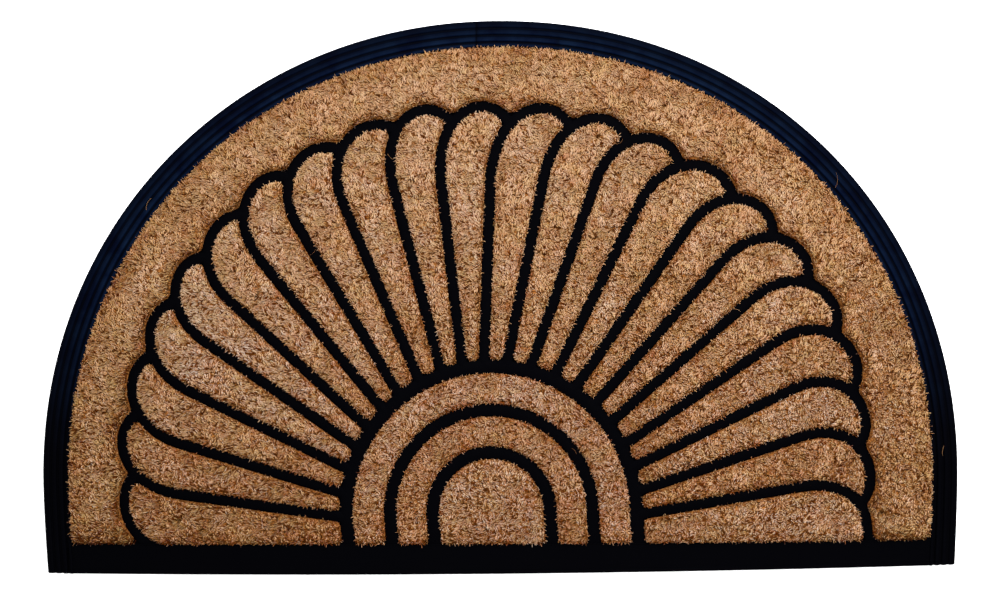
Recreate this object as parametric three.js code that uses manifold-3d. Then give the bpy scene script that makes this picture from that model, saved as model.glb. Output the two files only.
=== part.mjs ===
// Half round doormat of rubber and coir.
//
// One moulded rubber tray carries everything. Its raised lines draw a rising sun: a core and two
// arched rings at the straight edge, a fan of petals round them, and a band of plain coir outside
// the fan. Each pocket between the lines holds its own cut piece of upright coir pile.
//
// Millimetres and degrees. +X runs along the straight front edge, +Y points to the top of the arc
// and +Z is up. The origin is on the floor, under the middle of the mat's outer box.
import * as THREE from "three";
import { mergeVertices } from "three/addons/utils/BufferGeometryUtils.js";
import Module from "manifold-3d";

const wasm = await Module();
wasm.setup();

// ---------------------------------------------------------------------------------------------
// Driving dimensions

// Outer edge: a half round that is a little squarer than an ellipse, the left shoulder less so
// than the right one, above sides that draw in.
const halfWidth = 375;
const halfDepth = 227;
const widestY = -144.5;
const squarenessLeft = 2.045;
const squarenessRight = 2.07;
const drawInLeft = 4.3;
const drawInRight = 2.8;
const sideCurve = 1.5;

// The front edge isn't straight: it sags to its lowest place left of the middle and rises in a
// long bow to the right-hand corner. The top edge of the front strip follows it less steeply.
const frontLowX = -160;
const frontRise = 8.3;
const stripTopY = -201.7;
const stripRise = 4.4;

// Heights above the floor.
const sheetTop = 4;
const grooveFloor = 5.4;
const lineTop = 7.5;
const outerRibTop = 6.4;
const innerRibTop = 8;
const pileTop = 14;

// Rim: four flat ribs side by side, with narrow grooves between them.
const rimWidth = 22.4;
const ribCount = 4;
const grooveWidth = 1;

// The room for the coir, inside the rim and behind the front strip, has rounded front corners.
const coirCorner = 7;

// Sun: one centre for the arches. Their straight legs run down to the front strip and lean to the
// right by `legLean` for each millimetre of their length.
const sun = new THREE.Vector2(-7.4, -174.8);
const coreRadius = 42.3;
const ringBands = [
  { inner: 53.8, outer: 77.2 },
  { inner: 88.4, outer: 112.5 },
];
const fanStart = 124.6;
const legLean = 0.075;

// Fan: straight rays aim at one focus. They lie closer together at the top than near the strip,
// and those that stand off this even fan lean by the degrees given here, as do their feet, and
// their hooks rise by the millimetres given. The rays right of the middle, within a span of the
// place that does it most, have turned feet too.
const focus = new THREE.Vector2(-6.5, -198.2);
const rayCount = 21;
const middleRay = 90.4;
const rayPitch = 7.78;
const raySpread = 0.0028;
const rayLeans = [
  { ray: 1, lean: 0.7, foot: -0.4, rise: 1.4 },
  { ray: 2, lean: 0.4, foot: -0.2, rise: 0.9 },
  { ray: 3, lean: -0.2, foot: 0, rise: 1 },
  { ray: 4, lean: -0.4, foot: 0.2, rise: 0.4 },
  { ray: 5, lean: 0, foot: 0.2, rise: -0.8 },
  { ray: 6, lean: 0, foot: 0.4, rise: 1.8 },
  { ray: 7, lean: 0.1, foot: 0.9, rise: 0.2 },
  { ray: 8, lean: 0.1, foot: 0.4, rise: 0 },
  { ray: 9, lean: -0.3, foot: 0.3, rise: 1.7 },
  { ray: 12, lean: -0.6, foot: 0.5, rise: 0.8 },
  { ray: 13, lean: -0.8, foot: 0.3, rise: 0.4 },
  { ray: 14, lean: -0.6, foot: -0.3, rise: 0.4 },
  { ray: 15, lean: -1, foot: 0.4, rise: 0.8 },
  { ray: 16, lean: -0.6, foot: 0.1, rise: 0.7 },
  { ray: 17, lean: -0.2, foot: 0.3, rise: 0 },
  { ray: 19, lean: 0, foot: 0.3, rise: -2.4 },
  { ray: 20, lean: 0.2, foot: 0, rise: -0.5 },
];
const footTurn = { most: 3.4, ray: 13.5, span: 7 };

// Each ray ends in a hook that bends clockwise over its petal and lands on the next hook. The
// hooks' crowns all touch one circle, which bulges a little at the shoulders of the mat.
const crownCentre = new THREE.Vector2(-2.6, -148.3);
const crownRadius = 304.6;
const crownBulge = 4;
const hookStep = 12;

// A hook is two parts of ellipses that meet at its crown. The crown stands a share of the way
// across the petal, `depth` out from where the hook leaves its ray, and `rise` outside the circle
// of crowns. Past it the hook falls within the share `hookFall`. Hooks between rows are blends.
const hookForms = [
  { hook: 1, crown: 0.79, depth: 45, rise: 0.3 },
  { hook: 7, crown: 0.84, depth: 45, rise: 0.5 },
  { hook: 11, crown: 0.88, depth: 68, rise: 0 },
  { hook: 13, crown: 0.92, depth: 56, rise: -0.8 },
  { hook: 17, crown: 1.08, depth: 57, rise: 1.5 },
  { hook: 20, crown: 1.1, depth: 56, rise: 0 },
];
const hookFall = 0.78;

// The fan's left end has a hook of its own, which rises out of the front strip. On the right the
// last hook breaks off part way and runs straight down to a foot in the strip.
const leftHook = {
  angle: 181.9, pitch: 7.2, crown: 1, fall: 1, depth: 35, rise: 0, turn: 138, landing: 48,
};
const rightHook = { crown: 1, depth: 58, rise: 0, turn: 72 };
const rightFootX = 305;

// Raised lines, and the clearance that each coir piece keeps to the rubber.
const lineWidth = 9.2;
const fit = 0.3;

// How far a cutter, or the root of a raised line, runs past the face where it ends.
const overrun = 1;

// Facets.
const archSteps = 72;
const sideSteps = 4;
const frontSteps = 10;
const sunSteps = 36;
const cornerSteps = 5;

// ---------------------------------------------------------------------------------------------
// Finishes

const rubber = new THREE.MeshStandardMaterial({
  name: "vulcanised_rubber", color: "#15171c", roughness: 0.72, metalness: 0, flatShading: true,
});
const coir = new THREE.MeshStandardMaterial({
  name: "coir_pile", color: "#a9835a", roughness: 1, metalness: 0, flatShading: true,
});

// ---------------------------------------------------------------------------------------------
// Plan curves

const vec = (x, y) => new THREE.Vector2(x, y);

/** Whole numbers from `first` to `last`, both included. */
function range(first, last) {
  return Array.from({ length: last - first + 1 }, (_, i) => first + i);
}

/** `steps` + 1 values spread evenly from `from` to `to`. */
function spread(from, to, steps) {
  return range(0, steps).map((i) => from + ((to - from) * i) / steps);
}

/** Unit vector that points `angle` degrees round from +X. */
function heading(angle) {
  const turn = THREE.MathUtils.degToRad(angle);
  return vec(Math.cos(turn), Math.sin(turn));
}

/** How far the bow at the front has risen at `x`: a parabola, 1 at the right-hand corner. */
function bow(x) {
  return ((x - frontLowX) / (halfWidth - frontLowX)) ** 2;
}

/** The front edge's Y at `x`. */
function frontY(x) {
  return -halfDepth + frontRise * bow(x);
}

/** The Y of the front strip's top edge at `x`. */
function stripY(x) {
  return stripTopY + stripRise * bow(x);
}

/** Points along the curve `y(x)` from `from` to `to`, both included. */
function bowed(from, to, y) {
  return spread(from, to, frontSteps).map((x) => vec(x, y(x)));
}

/** The half round at `turn` degrees from +X, `inset` inside the outer edge. */
function archPoint(turn, inset) {
  const way = heading(turn);
  const power = 2 / (way.x < 0 ? squarenessLeft : squarenessRight);
  return vec(
    (halfWidth - inset) * Math.sign(way.x) * Math.abs(way.x) ** power,
    widestY + (halfDepth - widestY - inset) * Math.abs(way.y) ** power,
  );
}

/** Half width of the mat at `y` below its widest line, where the side draws in by `drawIn`. */
function sideX(y, drawIn, inset) {
  const below = (widestY - y) / (widestY + halfDepth);
  return halfWidth - inset - drawIn * below ** sideCurve;
}

/** Points from the right-hand front corner over the arc to the left one; `endY(x)` ends them. */
function rimCurve(inset, endY) {
  const rightEnd = endY(halfWidth - inset - drawInRight);
  const leftEnd = endY(inset + drawInLeft - halfWidth);
  const right = spread(rightEnd, widestY, sideSteps).slice(0, -1);
  const left = spread(widestY, leftEnd, sideSteps).slice(1);
  return [
    ...right.map((y) => vec(sideX(y, drawInRight, inset), y)),
    ...spread(0, 180, archSteps).map((turn) => archPoint(turn, inset)),
    ...left.map((y) => vec(-sideX(y, drawInLeft, inset), y)),
  ];
}

/** The mat's whole outline: the rim curve, closed by the bowed front edge. */
function matOutline() {
  const curve = rimCurve(0, frontY);
  return [...curve, ...bowed(curve.at(-1).x, curve[0].x, frontY).slice(1, -1)];
}

/** Points of a rounded corner about `centre`, from heading `from` to heading `to`. */
function corner(centre, radius, from, to) {
  return spread(from, to, cornerSteps).map((angle) => {
    return centre.clone().addScaledVector(heading(angle), radius);
  });
}

/** Outline of all the room for coir, `gap` inside the rubber round it. */
function coirOutline(gap) {
  const radius = coirCorner - gap;
  const curve = rimCurve(rimWidth + gap, (x) => stripY(x) + coirCorner);
  const left = curve.at(-1).clone().add(vec(radius, 0));
  const right = curve[0].clone().add(vec(-radius, 0));
  return [
    ...curve,
    ...corner(left, radius, 180, 270).slice(1, -1),
    ...bowed(left.x, right.x, (x) => stripY(x) + gap),
    ...corner(right, radius, 270, 360).slice(1, -1),
  ];
}

/** Arch about the sun's centre: a half circle on two straight legs that end at `footY`. */
function archOutline(radius, footY) {
  const round = spread(0, 180, sunSteps).map((angle) => {
    return sun.clone().addScaledVector(heading(angle), radius);
  });
  const footX = sun.x + legLean * (sun.y - footY);
  return [vec(footX + radius, footY), ...round, vec(footX - radius, footY)];
}

// ---------------------------------------------------------------------------------------------
// Rays and hooks

/** How ray `k` stands off the even fan. */
function standOff(k) {
  return rayLeans.find(({ ray }) => ray === k) ?? { lean: 0, foot: 0, rise: 0 };
}

/** Heading of ray `k`, counted clockwise from 1 at the left. */
function rayAngle(k) {
  const fromMiddle = (rayCount + 1) / 2 - k;
  return middleRay + rayPitch * fromMiddle + raySpread * fromMiddle ** 3 + standOff(k).lean;
}

/** Heading of ray `k` at its foot on the sun's outer line. */
function footAngle(k) {
  const aside = Math.min(1, Math.abs(k - footTurn.ray) / footTurn.span);
  const turned = footTurn.most * Math.cos((aside * Math.PI) / 2) ** 2;
  return rayAngle(k) + turned + standOff(k).foot;
}

/** One value of hook `k`'s form, between the two nearest rows of the table. */
function hookValue(k, name) {
  const next = Math.max(1, hookForms.findIndex(({ hook }) => hook >= k));
  const [low, high] = [hookForms[next - 1], hookForms[next]];
  return THREE.MathUtils.mapLinear(k, low.hook, high.hook, low[name], high[name]);
}

/** Form of hook `k`: where it leaves its ray, its shape, how far it turns and where it lands. */
function hookForm(k) {
  if (k === 0) {
    return leftHook;
  }
  const angle = rayAngle(k);
  const place = { angle, pitch: angle - rayAngle(k + 1), fall: hookFall };
  if (k === rayCount) {
    return { ...place, ...rightHook };
  }
  const [crown, depth, rise] = ["crown", "depth", "rise"].map((name) => hookValue(k, name));
  // Neighbours of one form meet where the fall of one and the climb of the next make one pitch.
  const landing = THREE.MathUtils.radToDeg(Math.acos(1 / (crown + hookFall)));
  return { ...place, crown, depth, rise, turn: 180 - landing, landing };
}

/** How far the circle about `centre` is from the focus, looking along `way`. */
function reachToCircle(way, centre, radius) {
  const offset = centre.clone().sub(focus);
  const along = way.dot(offset);
  return along + Math.sqrt(radius ** 2 - offset.lengthSq() + along ** 2);
}

/** How far the arch of `radius` is from the focus: its half circle, or its leg lower down. */
function reachToArch(way, radius) {
  const toLeg = radius / Math.abs(way.x);
  const meetsLeg = focus.y + toLeg * way.y < sun.y;
  return meetsLeg ? toLeg : reachToCircle(way, sun, radius);
}

/** Distance from the focus to the crowns of the hooks, looking along `way`. */
function reachToCrowns(way) {
  return reachToCircle(way, crownCentre, crownRadius) + crownBulge * Math.abs(2 * way.x * way.y);
}

/** Hook `k` over its petal, `from` to `to` degrees of its turn. */
function hookPoints(k, from, to = hookForm(k).turn) {
  const { angle, pitch, crown, fall, depth, rise } = hookForm(k);
  return spread(from, to, Math.round((to - from) / hookStep)).map((turn) => {
    const part = heading(turn);
    const across = crown - part.x * (turn < 90 ? crown : fall);
    const way = heading(angle - pitch * across);
    const ownRise = standOff(k).rise * part.y;
    const reach = reachToCrowns(way) + rise + ownRise - depth * (1 - part.y);
    return focus.clone().addScaledVector(way, reach);
  });
}

/** Foot of ray `k`, in the middle of the sun's outer line. */
function rayFoot(k) {
  const way = heading(footAngle(k));
  const lineMiddle = (ringBands[1].outer + fanStart) / 2;
  return focus.clone().addScaledVector(way, reachToArch(way, lineMiddle));
}

/** Middle line of ray `k` from its foot to where its hook lands, on the next hook or the strip. */
function rayPath(k) {
  const foot = k === 0 ? [] : [rayFoot(k)];
  const landing = k === rayCount ? [vec(rightFootX, -halfDepth)] : [];
  return [...foot, ...hookPoints(k, 0), ...landing];
}

/** Closed band round a middle line, reaching `halfBand` to each side of it. */
function strokeOutline(path, halfBand) {
  const sides = path.map((point, i) => {
    const before = path[Math.max(i - 1, 0)];
    const after = path[Math.min(i + 1, path.length - 1)];
    const along = after.clone().sub(before).normalize();
    const out = vec(-along.y, along.x).multiplyScalar(halfBand);
    return { left: point.clone().add(out), right: point.clone().sub(out) };
  });
  return [...sides.map((s) => s.left), ...sides.map((s) => s.right).reverse()];
}

/** Outline of the whole fan along the middle of its hooks, closed under the front strip. */
function fanOutline() {
  const rest = range(1, rayCount).flatMap((k) => hookPoints(k, hookForm(k - 1).landing));
  const edge = [...hookPoints(0, 0), ...rest];
  return [vec(edge[0].x, -halfDepth), ...edge, vec(rightFootX, -halfDepth)];
}

/** Outline of petal `k`'s field, between the middle lines of ray `k` - 1 and ray `k`. */
function petalField(k) {
  const over = rayPath(k - 1);
  if (k > rayCount) {
    return [focus, ...over, vec(focus.x, -halfDepth)];
  }
  const under = [rayFoot(k), ...hookPoints(k, 0, hookForm(k - 1).landing).slice(0, -1)];
  const start = k === 1 ? [vec(focus.x, -halfDepth), vec(over[0].x, -halfDepth)] : [focus];
  return [...start, ...over, ...under.reverse()];
}

// ---------------------------------------------------------------------------------------------
// Solids

/** Closed solid over a plan outline, from height `low` to height `high`. */
function prism(outline, low, high) {
  const geometry = new THREE.ExtrudeGeometry(new THREE.Shape(outline), {
    depth: high - low, bevelEnabled: false, steps: 1,
  });
  geometry.translate(0, 0, low);
  geometry.deleteAttribute("normal");
  geometry.deleteAttribute("uv");
  const merged = mergeVertices(geometry, 1e-4);
  return new wasm.Manifold(new wasm.Mesh({
    numProp: 3,
    vertProperties: new Float32Array(merged.attributes.position.array),
    triVerts: new Uint32Array(merged.index.array),
  }));
}

/** All the solids in a list joined into one. */
function join(solids) {
  return solids.reduce((whole, solid) => whole.add(solid));
}

/** The solid's surface as a geometry for a mesh. */
function toGeometry(solid) {
  const { vertProperties, triVerts } = solid.getMesh();
  const geometry = new THREE.BufferGeometry();
  geometry.setAttribute("position", new THREE.BufferAttribute(vertProperties, 3));
  geometry.setIndex(new THREE.BufferAttribute(triVerts, 1));
  geometry.computeVertexNormals();
  return geometry;
}

/** Ring between two arches of the sun, on legs that end at `footY`. */
function archBand(inner, outer, footY, low, high) {
  const hole = prism(archOutline(inner, footY - overrun), low - overrun, high + overrun);
  return prism(archOutline(outer, footY), low, high).subtract(hole);
}

/** The rim's ribs: bands side by side, each a little higher than the one outside it. */
function ribs(low) {
  const pitch = rimWidth / ribCount;
  return range(0, ribCount - 1).map((i) => {
    const outside = i === 0 ? 0 : i * pitch + grooveWidth / 2;
    const inside = i === ribCount - 1 ? rimWidth : (i + 1) * pitch - grooveWidth / 2;
    const top = THREE.MathUtils.lerp(outerRibTop, innerRibTop, i / (ribCount - 1));
    return prism([...rimCurve(outside, frontY), ...rimCurve(inside, frontY).reverse()], low, top);
  });
}

/** The plain strip along the front edge, between the ends of the rim. */
function frontStrip(low, high) {
  const inner = rimCurve(rimWidth, frontY);
  const [from, to] = [inner.at(-1).x, inner[0].x];
  return prism([...bowed(from, to, frontY), ...bowed(to, from, stripY)], low, high);
}

/** The three raised lines of the sun, each as wide as the gap between two pieces of coir. */
function sunLines(low, high) {
  const edges = [
    { inner: coreRadius, outer: ringBands[0].inner },
    { inner: ringBands[0].outer, outer: ringBands[1].inner },
    { inner: ringBands[1].outer, outer: fanStart },
  ];
  return edges.map(({ inner, outer }) => {
    return archBand(inner + fit, outer - fit, stripTopY - overrun, low, high);
  });
}

/** The raised line of ray `k` and its hook, with `gap` added on each side. */
function rayLine(k, gap, low, high) {
  return prism(strokeOutline(rayPath(k), lineWidth / 2 + gap), low, high);
}

/** Rubber tray: sheet, ribbed rim, plain front strip and all the raised lines, in one piece. */
function makeTray() {
  const root = sheetTop - overrun;
  const floor = prism(matOutline(), 0, grooveFloor);
  const pocket = prism(coirOutline(0), sheetTop, pileTop);
  const behindStrip = prism(coirOutline(-overrun), 0, pileTop);
  const rays = range(0, rayCount).map((k) => rayLine(k, 0, root, lineTop));
  const lines = join([...sunLines(root, lineTop), ...rays]);
  return floor
    .subtract(pocket)
    .add(frontStrip(root, lineTop))
    .add(join(ribs(root)).subtract(pocket))
    .add(lines.intersect(behindStrip));
}

/** All the room for coir, clear of the rim, the front strip and the sheet. */
const coirRoom = prism(coirOutline(fit), sheetTop + fit, pileTop);

/** Cutters for the coir: the rays with their clearance, and the sun inside its outer line. */
const cutLow = sheetTop - overrun;
const cutHigh = pileTop + overrun;
const rayCuts = range(0, rayCount).map((k) => rayLine(k, fit, cutLow, cutHigh));
const sunCut = prism(archOutline(fanStart, -halfDepth), cutLow, cutHigh);

/** The coir outside the fan, from one front corner over the arc to the other. */
function makeBand() {
  return coirRoom.subtract(join([prism(fanOutline(), cutLow, cutHigh), ...rayCuts]));
}

/** Petal `k` of the fan, counted clockwise from the left end of the front strip. */
function makePetal(k) {
  const field = prism(petalField(k), cutLow, cutHigh);
  return coirRoom.intersect(field).subtract(join([sunCut, ...rayCuts.slice(k - 1, k + 1)]));
}

/** Arched ring of the sun. */
function makeRing({ inner, outer }) {
  return coirRoom.intersect(archBand(inner, outer, -halfDepth, cutLow, cutHigh));
}

/** The sun's core. */
function makeCore() {
  return coirRoom.intersect(prism(archOutline(coreRadius, -halfDepth), cutLow, cutHigh));
}

// ---------------------------------------------------------------------------------------------
// Assembly

const doormat = new THREE.Group();

/** Adds one named piece to the mat. */
function addPiece(name, solid, material) {
  const mesh = new THREE.Mesh(toGeometry(solid), material);
  mesh.name = name;
  doormat.add(mesh);
}

addPiece("rubber_tray", makeTray(), rubber);
addPiece("coir_band", makeBand(), coir);
for (const k of range(1, rayCount + 1)) {
  addPiece(`coir_petal_${String(k).padStart(2, "0")}`, makePetal(k), coir);
}
ringBands.forEach((band, i) => addPiece(`coir_ring_${i + 1}`, makeRing(band), coir));
addPiece("coir_core", makeCore(), coir);

export default doormat;
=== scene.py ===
"""Looks of a half round doormat: a black moulded rubber tray filled with pieces of coir pile.

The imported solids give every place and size. The tray is swept again with rounded ribs and lines,
and each piece of coir becomes a bed of packed fibre with thousands of single strands standing in
it. Lengths are millimetres until a mesh is written, which is in metres.
"""

import logging
from collections.abc import Callable
from dataclasses import dataclass, field
from enum import Enum
from functools import partial

import bmesh
import bpy
import numpy as np
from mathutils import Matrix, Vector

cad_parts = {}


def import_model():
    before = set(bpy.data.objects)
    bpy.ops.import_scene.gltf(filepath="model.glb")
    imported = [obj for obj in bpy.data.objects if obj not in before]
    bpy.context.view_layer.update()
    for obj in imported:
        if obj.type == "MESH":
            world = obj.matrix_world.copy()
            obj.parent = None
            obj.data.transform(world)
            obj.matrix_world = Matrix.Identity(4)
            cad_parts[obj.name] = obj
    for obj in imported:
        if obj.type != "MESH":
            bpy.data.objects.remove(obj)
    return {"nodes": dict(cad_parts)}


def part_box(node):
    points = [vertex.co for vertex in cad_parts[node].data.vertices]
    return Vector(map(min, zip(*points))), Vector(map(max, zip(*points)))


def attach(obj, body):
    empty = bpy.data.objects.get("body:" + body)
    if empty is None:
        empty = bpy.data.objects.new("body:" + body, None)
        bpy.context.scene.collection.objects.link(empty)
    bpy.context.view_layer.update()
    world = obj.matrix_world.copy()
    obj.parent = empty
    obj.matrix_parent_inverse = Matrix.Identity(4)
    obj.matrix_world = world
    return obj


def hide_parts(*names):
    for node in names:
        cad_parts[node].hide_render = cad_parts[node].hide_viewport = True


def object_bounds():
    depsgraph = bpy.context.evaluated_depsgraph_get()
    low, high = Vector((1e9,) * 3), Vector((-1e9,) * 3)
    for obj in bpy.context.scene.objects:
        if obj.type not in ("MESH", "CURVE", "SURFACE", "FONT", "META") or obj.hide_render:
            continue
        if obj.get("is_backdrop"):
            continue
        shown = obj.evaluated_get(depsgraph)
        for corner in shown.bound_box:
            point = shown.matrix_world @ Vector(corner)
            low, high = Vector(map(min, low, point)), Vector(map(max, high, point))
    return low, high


MM = 0.001
BODY = "root"
LOG = logging.getLogger("doormat")

Array = np.ndarray


# --------------------------------------------------------------------------------------------
# Small numpy tools


def heading(degrees: Array) -> Array:
    """Unit vectors that point `degrees` round from +X."""
    turn = np.radians(degrees)
    return np.stack([np.cos(turn), np.sin(turn)], axis=-1)


def smooth(low: float, high: float, value: Array) -> Array:
    """Smoothstep: 0 below `low`, 1 above `high`, and 3t² - 2t³ between them."""
    t = np.clip((value - low) / (high - low), 0, 1)
    return t * t * (3 - 2 * t)


def unit(vectors: Array) -> Array:
    """The vectors, each divided by its length."""
    return vectors / np.maximum(np.linalg.norm(vectors, axis=-1, keepdims=True), 1e-9)


def cells(grid: Array) -> list[Array]:
    """Values at the four corners of each cell of a grid, counter-clockwise."""
    return [grid[:-1, :-1], grid[1:, :-1], grid[1:, 1:], grid[:-1, 1:]]


@dataclass(frozen=True)
class Wander:
    """Smooth random field over the plan, which wanders from -1 to 1 over about its period."""

    period: float
    seed: int
    reach: float = 480.0

    def at(self, plan: Array) -> Array:
        """Value at each X, Y row: a smoothstep blend of the four lattice values round it."""
        count = int(2 * self.reach / self.period) + 3
        lattice = np.random.default_rng(self.seed).uniform(-1, 1, (count, count))
        place = (plan + self.reach) / self.period
        cell = np.clip(np.floor(place).astype(int), 0, count - 2)
        x, y = smooth(0, 1, place - cell).T
        i, j = cell.T
        low = lattice[i, j] * (1 - x) + lattice[i + 1, j] * x
        high = lattice[i, j + 1] * (1 - x) + lattice[i + 1, j + 1] * x
        return low * (1 - y) + high * y


@dataclass(frozen=True)
class Tufts:
    """Clumps that neighbouring strands gather in, one in each cell of a jittered lattice."""

    spacing: float
    seed: int
    reach: float = 480.0

    def nearest(self, plan: Array) -> tuple[Array, Array]:
        """The clump that each point belongs to.

        Args:
            plan: points, one X, Y row each.

        Returns:
            the vector from the clump's middle to the point, and a random number of the clump.
        """
        count = int(2 * self.reach / self.spacing) + 3
        random = np.random.default_rng(self.seed)
        jitter = random.uniform(0.1, 0.9, (count, count, 2))
        number = random.uniform(0, 1, (count, count))
        cell = np.floor((plan + self.reach) / self.spacing).astype(int)
        best = np.full(len(plan), np.inf)
        offset, value = np.zeros((len(plan), 2)), np.zeros(len(plan))
        for step in np.ndindex(3, 3):
            home = np.clip(cell + np.array(step) - 1, 0, count - 1)
            i, j = home.T
            away = plan - ((home + jitter[i, j]) * self.spacing - self.reach)
            gap = (away**2).sum(axis=1)
            closer = gap < best
            best = np.where(closer, gap, best)
            offset = np.where(closer[:, None], away, offset)
            value = np.where(closer, number[i, j], value)
        return offset, value


@dataclass(frozen=True)
class Loop:
    """Closed outline in plan, counter-clockwise."""

    points: Array

    @classmethod
    def of_node(cls, node: bpy.types.Object) -> "Loop":
        """Outline of a node's flat top, from the edges that only one of its top faces uses.

        The faces are taken in the mesh's own order, so that it starts at the same corner each run.
        """
        mesh = bmesh.new()
        mesh.from_mesh(node.data)
        bmesh.ops.remove_doubles(mesh, verts=mesh.verts, dist=1e-6)
        high = max(v.co.z for v in mesh.verts) - 1e-5
        top = {f for f in mesh.faces if all(v.co.z > high for v in f.verts)}
        step = {
            corner.vert: corner.link_loop_next.vert
            for face in mesh.faces if face in top for corner in face.loops
            if not any(f in top for f in corner.edge.link_faces if f is not face)
        }
        vert = first = next(iter(step))
        chain = [first]
        while (vert := step[vert]) is not first:
            chain.append(vert)
        points = np.array([v.co[:2] for v in chain]) / MM
        mesh.free()
        return cls(points)

    @property
    def box(self) -> tuple[Array, Array]:
        """Lowest and highest corner of the outline."""
        return self.points.min(axis=0), self.points.max(axis=0)

    def depth(self, plan: Array, batch: int = 2_000_000) -> tuple[Array, Array]:
        """How deep points lie inside the outline.

        The nearest place is found on every side of the outline, by projecting the point on it.
        A point is inside where a ray towards +X crosses an odd number of sides.

        Args:
            plan: points, one X, Y row each.
            batch: about how many pairs of a point and a side are worked out at a time.

        Returns:
            the distance to the outline, negative outside, and the nearest place on it.
        """
        start, end = self.points, np.roll(self.points, -1, axis=0)
        side = end - start
        length = (side**2).sum(axis=1)
        depths, places = [], []
        for part in np.array_split(plan, max(1, len(plan) * len(start) // batch)):
            away = part[:, None] - start
            along = np.clip((away * side).sum(axis=2) / length, 0, 1)
            gap = away - along[..., None] * side
            gap = gap[np.arange(len(part)), (gap**2).sum(axis=2).argmin(axis=1)]
            px, py = part.T[..., None]
            spans = (start[:, 1] > py) != (end[:, 1] > py)
            rise = np.where(side[:, 1] == 0, 1, side[:, 1])
            cross = start[:, 0] + (py - start[:, 1]) / rise * side[:, 0]
            inside = (spans & (px < cross)).sum(axis=1) % 2 == 1
            distance = np.linalg.norm(gap, axis=1)
            depths.append(np.where(inside, distance, -distance))
            places.append(part - gap)
        return np.concatenate(depths), np.concatenate(places)

    def rounded(self, radius: float, sharp: float = 35.0, most: float = 8.0) -> "Loop":
        """The outline with its outward corners rounded.

        Where the way turns left by more than `sharp` degrees, the outline is cut back along itself
        on both sides, by the radius times the tangent of half the turn. A parabola with the
        corner c as its control point joins the ends a and b: (1-t)²a + 2t(1-t)c + t²b.

        Args:
            radius: of the rounding.
            sharp: the least turn that is rounded.
            most: the longest stretch that is cut back on one side.

        Returns:
            the new outline.
        """
        side = np.roll(self.points, -1, axis=0) - self.points
        at = np.r_[0, np.linalg.norm(side, axis=1).cumsum()]
        around = at[-1]
        before = np.roll(side, 1, axis=0)
        cross = before[:, 0] * side[:, 1] - before[:, 1] * side[:, 0]
        turn = np.degrees(np.arctan2(cross, (before * side).sum(axis=1)))
        corner = np.flatnonzero(turn > sharp)
        gap = np.diff(np.r_[at[corner], at[corner[0]] + around]) * 0.48
        cut = np.minimum(radius * np.tan(np.radians(turn[corner]) / 2), most)
        cut = np.minimum(cut, np.minimum(gap, np.roll(gap, 1)))
        closed = np.vstack([self.points, self.points[:1]])
        ends = (at[corner] + cut * np.array([[-1], [1]])) % around
        a, b = np.stack([np.interp(ends, at, closed[:, i]) for i in (0, 1)], axis=-1)
        t = np.linspace(0, 1, 8)[:, None, None]
        curve = (1 - t) ** 2 * a + 2 * t * (1 - t) * self.points[corner] + t**2 * b
        curve_at = (at[corner] + cut * (2 * t[..., 0] - 1)) % around
        apart = np.abs((at[:-1, None] - at[corner] + around / 2) % around - around / 2)
        kept = (apart > cut).all(axis=1)
        places = np.concatenate([self.points[kept], curve.reshape(-1, 2)])
        return Loop(places[np.concatenate([at[:-1][kept], curve_at.ravel()]).argsort()])

    def walk(self, spacing: float) -> tuple[Array, Array]:
        """Places `spacing` apart along the outline, and the outward direction at each."""
        closed = np.vstack([self.points, self.points[:1]])
        reach = np.r_[0, np.linalg.norm(np.diff(closed, axis=0), axis=1).cumsum()]
        at = np.arange(0, reach[-1], spacing)
        places = np.stack([np.interp(at, reach, closed[:, i]) for i in (0, 1)], axis=1)
        side = np.searchsorted(reach, at, side="right") - 1
        along = unit(np.diff(closed, axis=0))[np.clip(side, 0, len(self.points) - 1)]
        return places, np.stack([along[:, 1], -along[:, 0]], axis=1)


# --------------------------------------------------------------------------------------------
# Meshes


@dataclass
class Shape:
    """Points and faces of a mesh in the making, with values kept for each point."""

    points: Array
    faces: list[Array]
    values: dict[str, Array] = field(default_factory=dict)
    slot: int = 0

    def write(self, name: str, others: list["Shape"], finishes: list) -> bpy.types.Object:
        """Puts this shape and others into one mesh object.

        Args:
            name: the object's name.
            others: shapes joined with this one.
            finishes: materials, in the order of the shapes' slots.

        Returns:
            the new object, at the origin, in metres.
        """
        shapes = [self, *others]
        first = np.cumsum([0] + [len(s.points) for s in shapes])
        points = np.concatenate([s.points for s in shapes]) * MM
        groups = [(f + first[i], s.slot) for i, s in enumerate(shapes) for f in s.faces]
        corners = np.concatenate([f.ravel() for f, _ in groups])
        sizes = np.concatenate([np.full(len(f), f.shape[1]) for f, _ in groups])
        slots = np.concatenate([np.full(len(f), slot) for f, slot in groups])
        mesh = bpy.data.meshes.new(name)
        mesh.vertices.add(len(points))
        mesh.vertices.foreach_set("co", points.astype(np.float32).ravel())
        mesh.loops.add(len(corners))
        mesh.loops.foreach_set("vertex_index", corners.astype(np.int32))
        mesh.polygons.add(len(sizes))
        mesh.polygons.foreach_set("loop_start", np.r_[0, sizes.cumsum()[:-1]].astype(np.int32))
        mesh.polygons.foreach_set("material_index", slots.astype(np.int32))
        for key in sorted({k for s in shapes for k in s.values}):
            layer = mesh.attributes.new(key, "FLOAT", "POINT")
            parts = [s.values.get(key, np.zeros(len(s.points))) for s in shapes]
            layer.data.foreach_set("value", np.concatenate(parts).astype(np.float32))
        mesh.update(calc_edges=True)
        mesh.validate()
        for finish in finishes:
            mesh.materials.append(finish)
        made = bpy.data.objects.new(name, mesh)
        bpy.context.scene.collection.objects.link(made)
        return made


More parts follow.
